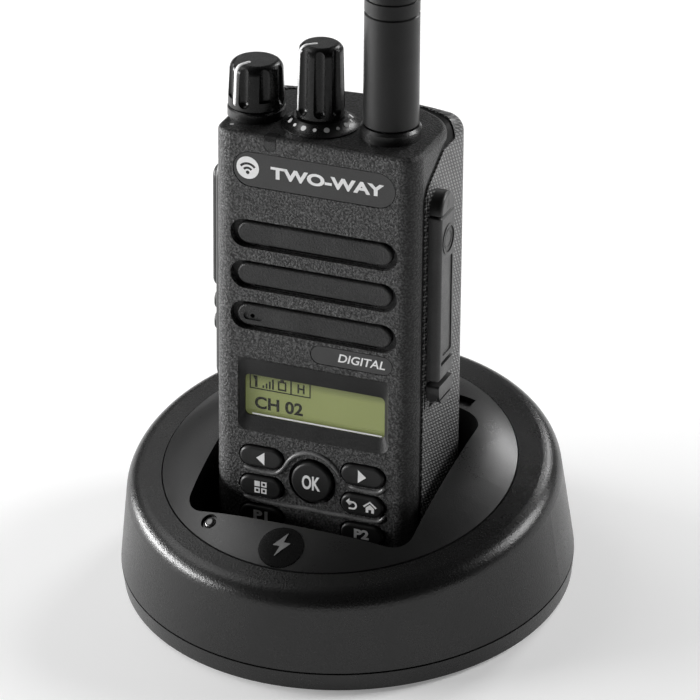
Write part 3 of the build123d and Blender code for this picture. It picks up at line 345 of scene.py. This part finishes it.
node_finishes = {
    "face_shell": ["front_housing"],
    "grid_shell": ["rear_housing", "battery_case", "battery_latch"],
    "plate_satin": ["name_plates"],
    "seal_rubber": ["body_seal"],
    "deck_trim": ["volume_collar", "channel_dial", "antenna_base_ring"],
    "knob_rubber": ["volume_knob", "channel_knob"],
    "antenna_rubber": ["antenna_sleeve", "antenna_whip"],
    "black_gloss": ["charger_badge"],
    "key_rubber": ["key_left", "key_menu", "key_p1", "key_right", "key_back", "key_p2", "key_ok",
                   "ptt_button", "side_button_upper", "side_button_lower"],
    "cover_rubber": ["connector_cover", "cover_latch", "ptt_bezel"],
    "grille": ["speaker_grille"],
    "charger_shell": ["charger_housing", "charger_base_plate"],
    "charger_dome": ["pocket_insert"],
    "rubber_feet": ["charger_feet"],
    "display_ground": ["lcd_panel"],
    "clear_lens": ["display_lens"],
    "light_pipe": ["status_light_pipe"],
    "indicator": ["charger_led"],
    "circuit_board": ["main_board", "keypad_board", "side_switches", "charger_board"],
    "gold_contact": ["battery_contacts", "charger_contacts", "dome_switches"],
    "shaft_steel": ["volume_shaft", "channel_shaft", "antenna_stud"],
    "screw_steel": ["housing_screws", "charger_screws"],
    "cast_frame": ["chassis"],
    "cell_wrap": ["battery_cells"],
    "speaker_metal": ["speaker_frame", "speaker_magnet", "microphone"],
    "speaker_paper": ["speaker_cone"],
    "control_case": ["volume_pot", "channel_switch", "shield_cans", "antenna_jack", "accessory_connector",
                     "charger_dc_jack"],
}
for finish, members in node_finishes.items():
    for member in members:
        for material_slot in nodes[member].material_slots:
            material_slot.material = finishes[finish]


# ---- helpers for printed marks and small trim ----
def on_face(x, z, y=0.0):
    """Frame on the radio's face: x across, y up, z towards the viewer. Millimetres in, metres out."""
    return radio_frame @ Matrix.Translation(Vector((x, y, z)) * MM) @ Matrix.Rotation(pi / 2, 4, "X")


def on_right_side(y, z, x):
    """Frame on the radio's right side, looking at it from outside."""
    turned = Matrix.Rotation(pi / 2, 4, "Z") @ Matrix.Rotation(pi / 2, 4, "X")
    return radio_frame @ Matrix.Translation(Vector((x, y, z)) * MM) @ turned


def finish_piece(piece, place, body, finish):
    """Puts a new piece in place, gives it its material and makes it ride."""
    bpy.context.scene.collection.objects.link(piece)
    piece.data.materials.append(finishes[finish])
    piece.matrix_world = place
    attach(piece, body)
    return piece


def lettering(name, words, height, width, place, body, finish, weight=0.0, lean_deg=0.0):
    """Raised-ink lettering of a given height and width, centred on place. Millimetres."""
    curve = bpy.data.curves.new(name, "FONT")
    curve.body = words
    curve.size = 1.0
    curve.resolution_u = 4
    piece = bpy.data.objects.new(name, curve)
    bpy.context.scene.collection.objects.link(piece)
    bpy.context.view_layer.update()
    curve.size = height * MM / piece.dimensions.y
    curve.offset = weight * MM
    curve.extrude = ink * MM
    curve.shear = sin(radians(lean_deg))
    bpy.context.view_layer.update()
    corners = [Vector(corner) for corner in piece.bound_box]
    centre = (min(c.x for c in corners) + max(c.x for c in corners)) / 2
    centre_up = (min(c.y for c in corners) + max(c.y for c in corners)) / 2
    natural_width = max(c.x for c in corners) - min(c.x for c in corners)
    bpy.context.scene.collection.objects.unlink(piece)
    stretched = Matrix.Diagonal((width * MM / natural_width, 1.0, 1.0, 1.0))
    shift = Matrix.Translation((-centre, -centre_up, 0.0))
    return finish_piece(piece, place @ stretched @ shift, body, finish)


def icon(name, outlines, place, body, finish, thickness=ink):
    """Flat mark made of closed outlines, each a list of (across, up) points in millimetres."""
    curve = bpy.data.curves.new(name, "CURVE")
    curve.dimensions = "2D"
    curve.fill_mode = "BOTH"
    curve.extrude = thickness * MM
    for outline in outlines:
        spline = curve.splines.new("POLY")
        spline.points.add(len(outline) - 1)
        for point, (across, up) in zip(spline.points, outline):
            point.co = (across * MM, up * MM, 0.0, 1.0)
        spline.use_cyclic_u = True
    piece = bpy.data.objects.new(name, curve)
    return finish_piece(piece, place, body, finish)


def circle(x, y, radius, steps=40):
    """Outline of a disc."""
    return [(x + radius * cos(2 * pi * step / steps), y + radius * sin(2 * pi * step / steps))
            for step in range(steps)]


def arc(x, y, radius, start_deg, end_deg, steps=16):
    """Points along an arc."""
    angles = [radians(start_deg + (end_deg - start_deg) * step / steps) for step in range(steps + 1)]
    return [(x + radius * cos(angle), y + radius * sin(angle)) for angle in angles]


def rectangle(x0, y0, x1, y1):
    """Outline of a rectangle."""
    return [(x0, y0), (x1, y0), (x1, y1), (x0, y1)]


def ribbon(points, width):
    """Outline of a band of even width along a line of points."""
    left, right = [], []
    for index, point in enumerate(points):
        before = Vector(points[max(index - 1, 0)])
        after = Vector(points[min(index + 1, len(points) - 1)])
        along = (after - before).normalized()
        side = Vector((-along.y, along.x)) * width / 2
        left.append(tuple(Vector(point) + side))
        right.append(tuple(Vector(point) - side))
    return left + right[::-1]


def frame_outline(x0, y0, x1, y1, width):
    """A rectangular border of even width."""
    return [rectangle(x0, y0, x1, y1), rectangle(x0 + width, y0 + width, x1 - width, y1 - width)]


def moulded_ridge(name, points):
    """A half-sunk moulded ridge through (x, z) points on the face, with thin ends, in a pale finish that
    paints the highlight the ridge catches.
    """
    radius = 0.6
    end_radius = 0.35
    end_growth = 0.2
    curve = bpy.data.curves.new(name, "CURVE")
    curve.dimensions = "3D"
    curve.bevel_depth = radius * MM
    curve.bevel_resolution = 4
    curve.use_fill_caps = True
    spline = curve.splines.new("POLY")
    spline.points.add(len(points) - 1)
    for index, (point, (x, z)) in enumerate(zip(spline.points, points)):
        from_end = min(index, len(points) - 1 - index)
        point.co = (x * MM, 0.0, z * MM, 1.0)
        point.radius = min(1.0, end_radius + end_growth * from_end)
    piece = bpy.data.objects.new(name, curve)
    return finish_piece(piece, radio_frame, "radio", "ridge_grain_painted_highlight")


def smooth_path(points, per_span=8):
    """A smooth line through points (Catmull-Rom), as a longer list of points."""
    line = []
    for index in range(len(points) - 1):
        p0 = Vector(points[max(index - 1, 0)])
        p1 = Vector(points[index])
        p2 = Vector(points[index + 1])
        p3 = Vector(points[min(index + 2, len(points) - 1)])
        for step in range(per_span):
            t = step / per_span
            line.append(tuple(0.5 * (2 * p1 + (p2 - p0) * t + (2 * p0 - 5 * p1 + 4 * p2 - p3) * t ** 2
                                     + (3 * p1 - p0 - 3 * p2 + p3) * t ** 3)))
    line.append(tuple(points[-1]))
    return line


# ---- the badge, the plate and the keys' markings ----
disc_x = -18.2
disc_radius = 3.1
wave_foot = -1.1
wave_width = 0.62
badge_word_x = 3.6
plate_word_x = 13.4
plate_word_z = 61.4
badge_place = on_face(0.0, badge_z, badge_surface)
icon("badge_disc", [circle(disc_x, 0.3, disc_radius)], badge_place, "radio", "white_ink")
waves = [ribbon(arc(disc_x, wave_foot, radius, 40, 140), wave_width) for radius in (1.35, 2.55)]
icon("badge_waves", [circle(disc_x, wave_foot + 0.1, 0.5, 20)] + waves,
     on_face(0.0, badge_z, badge_surface - ink), "radio", "black_ink")
lettering("badge_word", "TWO-WAY", 3.0, 31.0, on_face(badge_word_x, badge_z, badge_surface), "radio",
          "white_ink", weight=0.17)
lettering("plate_word", "DIGITAL", 2.3, 13.0, on_face(plate_word_x, plate_word_z, plate_surface), "radio",
          "white_ink", weight=0.05, lean_deg=12)


def on_key(node, dx=0.0, dz=0.0):
    """Frame on a key's face, moved across and up from its centre."""
    centre = middle(node)
    return on_face(centre.x + dx, centre.z + dz, key_surface)


for node, side in (("key_left", -1), ("key_right", 1)):
    triangle = [(-1.1 * side, 1.85), (1.2 * side, 0.0), (-1.1 * side, -1.85)]
    icon(node + "_arrow", [triangle], on_key(node), node, "white_ink")
squares = [rectangle(-1.7, 0.2, -0.2, 1.7)]
for x0, y0 in ((0.2, 0.2), (-1.7, -1.7), (0.2, -1.7)):
    squares += frame_outline(x0, y0, x0 + 1.5, y0 + 1.5, 0.38)
icon("key_menu_squares", squares, on_key("key_menu"), "key_menu", "white_ink")
return_arrow = ribbon([(-0.9, 0.75), (0.1, 0.75)] + arc(0.1, -0.2, 0.95, 80, -90) + [(-1.0, -1.15)], 0.5)
return_head = [(-0.8, 1.75), (-1.8, 0.75), (-0.8, -0.25)]
icon("key_back_return", [return_arrow, return_head], on_key("key_back", -2.6), "key_back", "white_ink")
roof = ribbon([(-1.75, 0.1), (0.0, 1.55), (1.75, 0.1)], 0.5)
house = [(-1.15, -0.1), (0.0, 0.85), (1.15, -0.1), (1.15, -1.5), (0.4, -1.5), (0.4, -0.6), (-0.4, -0.6),
         (-0.4, -1.5), (-1.15, -1.5)]
icon("key_back_house", [roof, house], on_key("key_back", 2.3), "key_back", "white_ink")
key_words = (  # key, word, letter height, word width, rise above the key's middle
    ("key_p1", "P1", 2.4, 4.0, 0.3),
    ("key_p2", "P2", 2.4, 4.2, 0.3),
    ("key_ok", "OK", 3.8, 5.1, 0.0),
)
for node, word, height, width, rise in key_words:
    lettering(node + "_word", word, height, width, on_key(node, dz=rise), node, "white_ink",
              weight=0.16)

# ---- what the display shows ----
status_left = -18.8
status_right = -1.7
status_low = 46.8
status_high = 51.2
divider_x = -7.4
mark_low = 47.4
bar_pitch = 0.9
channel_x = -10.6
channel_z = 43.0
letter_x = -4.4
letter_z = 49.0


def on_display(x, z):
    """Frame on the display's glass."""
    return on_face(x, z, lcd_surface - ink / 2)


def display_icon(name, outlines):
    """A dark mark drawn on the display in the radio's own (x, z)."""
    icon(name, outlines, on_display(0, 0), "radio", "lcd_ink")


lettering("display_channel", "CH 02", 3.3, 13.5, on_display(channel_x, channel_z), "radio", "lcd_ink",
          weight=0.14)
display_icon("display_status_row", frame_outline(status_left, status_low, status_right, status_high, 0.34))
antenna_mark = [rectangle(-17.3, mark_low, -16.6, 50.6), [(-18.0, 50.6), (-15.9, 50.6), (-16.95, 49.0)]]
bars = [rectangle(-15.2 + bar_pitch * step, mark_low, -14.7 + bar_pitch * step, 48.2 + 0.7 * step)
        for step in range(4)]
display_icon("display_signal", antenna_mark + bars)
battery_mark = frame_outline(-10.9, 47.5, -8.5, 50.2, 0.45) + [rectangle(-10.2, 50.2, -9.2, 50.7)]
display_icon("display_battery", battery_mark)
display_icon("display_divider", [rectangle(divider_x, status_low, divider_x + 0.4, status_high)])
lettering("display_letter", "H", 2.4, 2.0, on_display(letter_x, letter_z), "radio", "lcd_ink",
          weight=0.10)

# ---- painted highlight: a pale strip along the clear window's lower edge, standing in for the lens edge's reflection ----
lens_surface = 1.8
highlight_left = -17.6
highlight_right = 18.6
icon("window_painted_highlight", [rectangle(highlight_left, window_low + 0.1, highlight_right, window_low + 0.55)],
     on_face(0.0, 0.0, lens_surface - ink), "radio", "white_ink")

# ---- moulded ridges between the keys ----
ridge_top = smooth_path([(-19.3, 25.3), (-14.5, 24.7), (-10.2, 24.9), (-8.2, 26.6)]) + arc(
    0.0, 24.3, 8.2, 152, 20, 24)
moulded_ridge("ridge_top", ridge_top)
moulded_ridge("ridge_right", smooth_path([(10.4, 24.9), (14.5, 24.6), (18.6, 24.8), (20.4, 26.6)]))
moulded_ridge("ridge_low", smooth_path([
    (-19.3, 16.7), (-14.5, 16.2), (-9.5, 16.0), (-5.0, 16.0), (0.0, 16.2), (5.0, 16.0), (10.0, 16.1),
    (15.0, 16.0), (18.8, 16.4), (20.5, 18.2)]))


# ---- marks on the top controls ----
def surface_of(node):
    """A CAD node's mesh, ready for rays."""
    mesh = nodes[node].data
    mesh.calc_loop_triangles()
    return BVHTree.FromPolygons([v.co for v in mesh.vertices], [t.vertices for t in mesh.loop_triangles])


def pointer(name, node, turn_deg, start, foot):
    """White line on a knob, from near the middle of its top, over its edge and down its side."""
    half = 0.55
    end_narrowing = 0.6
    proud = 0.05
    thickness = 0.12
    crown = 2.6
    cast_from = 8
    top_steps = 6
    steps = 12
    low, high = local_box(node)
    widest = (high.x - low.x) / 2
    corner = widest - crown
    depth = high.z - crown - (low.z + foot)
    angle = radians(turn_deg)
    out = Vector((-sin(angle), -cos(angle), 0.0))
    across = Vector((-out.y, out.x, 0.0))
    up = Vector((0.0, 0.0, 1.0))
    top = Vector(((low.x + high.x) / 2, control_y, high.z))
    inside = top + out * corner - up * crown
    rays = [(top + out * (start + (corner - start) * step / top_steps) + up * 2, -up)
            for step in range(top_steps)]
    for step in range(steps + 1):
        turn = radians(90 * step / steps)
        away = out * sin(turn) + up * cos(turn)
        rays.append((inside + away * cast_from, -away))
    rays += [(inside + out * cast_from - up * depth * step / steps, -out) for step in range(1, steps + 1)]
    tree = surface_of(node)
    turning = radio_frame.to_3x3()
    rows = []
    for index, (origin, direction) in enumerate(rays):
        spread = half * (end_narrowing if index in (0, len(rays) - 1) else 1.0)
        row = []
        for side in (-1.0, -0.5, 0.0, 0.5, 1.0):
            point = radio_frame @ ((origin + across * spread * side) * MM)
            hit = tree.ray_cast(point, turning @ direction)[0]
            lift = proud if abs(side) < 1 else -proud
            row.append(hit - (turning @ direction) * lift * MM)
        rows.append(row)
    columns = len(rows[0])
    vertices = [point for row in rows for point in row]
    faces = [(r * columns + c, r * columns + c + 1, (r + 1) * columns + c + 1, (r + 1) * columns + c)
             for r in range(len(rows) - 1) for c in range(columns - 1)]
    mesh = bpy.data.meshes.new(name)
    mesh.from_pydata(vertices, [], faces)
    for face in mesh.polygons:
        face.use_smooth = True
    piece = bpy.data.objects.new(name, mesh)
    thick = piece.modifiers.new("thickness", "SOLIDIFY")
    thick.thickness = thickness * MM
    thick.offset = 0.0
    return finish_piece(piece, Matrix.Identity(4), node, "white_ink")


pointer("volume_pointer", "volume_knob", turn_deg=27.5, start=2.2, foot=1.3)
pointer("channel_pointer", "channel_knob", turn_deg=49.0, start=1.0, foot=1.6)


def dial_dots():
    """Sixteen position dots round the channel dial, every second one larger."""
    count = 16
    ring = 7.9
    below_top = 1.0
    cast_from = 5
    first = radians(-12.0)
    radii = (0.75, 0.5)
    thickness = 0.06
    low, high = local_box("channel_dial")
    centre = (low + high) / 2
    tree = surface_of("channel_dial")
    turning = radio_frame.to_3x3()
    for step in range(count):
        angle = first + 2 * pi * step / count
        away = Vector((sin(angle), -cos(angle), 0.0))
        slant = (away + Vector((0.0, 0.0, 1.0))).normalized()
        point = Vector((centre.x, centre.y, high.z - below_top)) + away * ring + slant * cast_from
        hit, normal, _, _ = tree.ray_cast(radio_frame @ (point * MM), turning @ -slant)
        if normal.dot(turning @ slant) < 0:
            normal = -normal
        upright = normal.to_track_quat("Z", "Y").to_matrix().to_4x4()
        place = Matrix.Translation(hit + normal * ink * MM) @ upright
        icon(f"dial_dot_{step:02d}", [circle(0, 0, radii[step % 2], 24)], place, "radio", "white_ink",
             thickness)


dial_dots()
volume_mark_x = -24.3
volume_mark_y = 4.3
deck_place = radio_frame @ Matrix.Translation((0.0, 0.0, deck_z * MM))
icon("volume_mark", [circle(volume_mark_x, volume_mark_y, 0.55, 20)], deck_place, "radio", "white_ink")

# ---- marks on the cover and the charger ----
cap_outer = local_box("rear_housing")[1].x
cap_place = on_right_side(13.3, 103.9, cap_outer)
cap_triangle = [(-1.2, -1.2), (1.2, -1.2), (0.0, 1.7)]
icon("cap_triangle", [cap_triangle], cap_place, "radio", "black_ink")
emblem_sunk = 0.2
cover_outer = local_box("connector_cover")[1].x
emblem_place = on_right_side(13.5, 93.8, cover_outer - emblem_sunk)
icon("cover_ring", [circle(0, 0, 2.7), circle(0, 0, 2.1)], emblem_place, "connector_cover", "black_ink")


def charger_bolt():
    """Plain lightning bolt on the charger's round badge."""
    thickness = 0.12
    above = Vector((0, 0, 50 * MM))
    low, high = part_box("charger_badge")
    centre = (low + high) / 2
    hit, normal, _, _ = surface_of("charger_badge").ray_cast(centre + above, Vector((0, 0, -1)))
    if normal.z < 0:
        normal = -normal
    right = Vector((1.0, 0.0, 0.0))
    up = normal.cross(right).normalized()
    place = Matrix((right, up, right.cross(up))).transposed().to_4x4()
    place.translation = hit
    bolt = [(0.7, 3.6), (-2.2, -0.5), (-0.3, -0.5), (-0.9, -3.6), (2.2, 0.7), (0.3, 0.7)]
    icon("charger_bolt", [bolt], place, "charger", "grey_ink", thickness)


charger_bolt()


# ---- the stage: floor, lights, world and camera ----
def build_floor():
    """Plain pale floor."""
    size = 4.0
    glow = 0.22
    corners = [(-size, -size, 0), (size, -size, 0), (size, size, 0), (-size, size, 0)]
    mesh = bpy.data.meshes.new("floor")
    mesh.from_pydata(corners, [], [(0, 1, 2, 3)])
    floor = bpy.data.objects.new("floor", mesh)
    bpy.context.scene.collection.objects.link(floor)
    material, tree, shader, place = bare_material("floor_paper", specular=0.2)
    fibres = noise(tree, place, 3 * MM)
    tree.links.new(blended(tree, fibres, shade(0.86), shade(0.88)), shader.inputs["Base Color"])
    shader.inputs["Roughness"].default_value = 0.8
    shader.inputs["Emission Color"].default_value = shade(1.0)
    shader.inputs["Emission Strength"].default_value = glow
    mesh.materials.append(material)


def soft_light(name, azimuth_deg, height_deg, width, height, power):
    """A soft box that looks at the radio's middle. Sizes in metres, power in watts."""
    distance = 1.3
    aim = Vector((0.0, 0.0, 0.08))
    azimuth = radians(azimuth_deg)
    rise = radians(height_deg)
    towards = Vector((sin(azimuth) * cos(rise), -cos(azimuth) * cos(rise), sin(rise)))
    lamp = bpy.data.lights.new(name, "AREA")
    lamp.shape = "RECTANGLE"
    lamp.size = width
    lamp.size_y = height
    lamp.energy = power
    holder = bpy.data.objects.new(name, lamp)
    holder.location = aim + towards * distance
    holder.rotation_euler = towards.to_track_quat("Z", "Y").to_euler()
    bpy.context.scene.collection.objects.link(holder)


def build_world():
    """Pale surroundings, brightest near the horizon."""
    horizon = 0.06
    overhead = 0.01
    world = bpy.data.worlds.new("studio")
    bpy.context.scene.world = world
    world.use_nodes = True
    tree = world.node_tree
    direction = add(tree, "ShaderNodeTexCoord").outputs["Generated"]
    height = add(tree, "ShaderNodeSeparateXYZ", {0: direction}).outputs["Z"]
    strength = remap(tree, height, 0.0, 0.5, horizon, overhead)
    background = tree.nodes["Background"]
    background.inputs["Color"].default_value = shade(1.0)
    tree.links.new(strength, background.inputs["Strength"])


def build_camera():
    """Long lens from the front right, slightly rolled."""
    azimuth = radians(22.539)
    elevation = radians(31.153)
    roll = radians(-1.982)
    distance = 1.442587
    aside = 0.002451
    aim_height = 0.067576
    target = Vector((cos(azimuth) * aside, sin(azimuth) * aside, aim_height))
    lens = bpy.data.cameras.new("camera")
    lens.sensor_width = 36.0
    lens.lens = 284.14
    lens.clip_end = 20.0
    camera = bpy.data.objects.new("camera", lens)
    turned = Matrix.Rotation(azimuth, 4, "Z") @ Matrix.Rotation(pi / 2 - elevation, 4, "X")
    back = (turned.to_3x3() @ Vector((0.0, 0.0, 1.0))).normalized()
    rolled = turned @ Matrix.Rotation(roll, 4, "Z")
    camera.matrix_world = Matrix.Translation(target + back * distance) @ rolled
    bpy.context.scene.collection.objects.link(camera)
    bpy.context.scene.camera = camera


build_floor()
build_world()
build_camera()
soft_light("left_strip", -76.0, 7.0, 1.2, 0.20, 34.0)
soft_light("upper_left_box", -92.0, 50.0, 0.8, 0.6, 4.0)
soft_light("back_left_box", -132.0, 36.0, 0.7, 0.7, 1.2)
soft_light("deck_box", -159.0, 17.0, 0.45, 0.3, 0.3)
soft_light("right_box", 122.0, 26.0, 0.5, 0.5, 11.0)
soft_light("back_box", 166.0, 28.0, 0.35, 0.35, 4.5)
bpy.context.scene.view_settings.view_transform = "Standard"
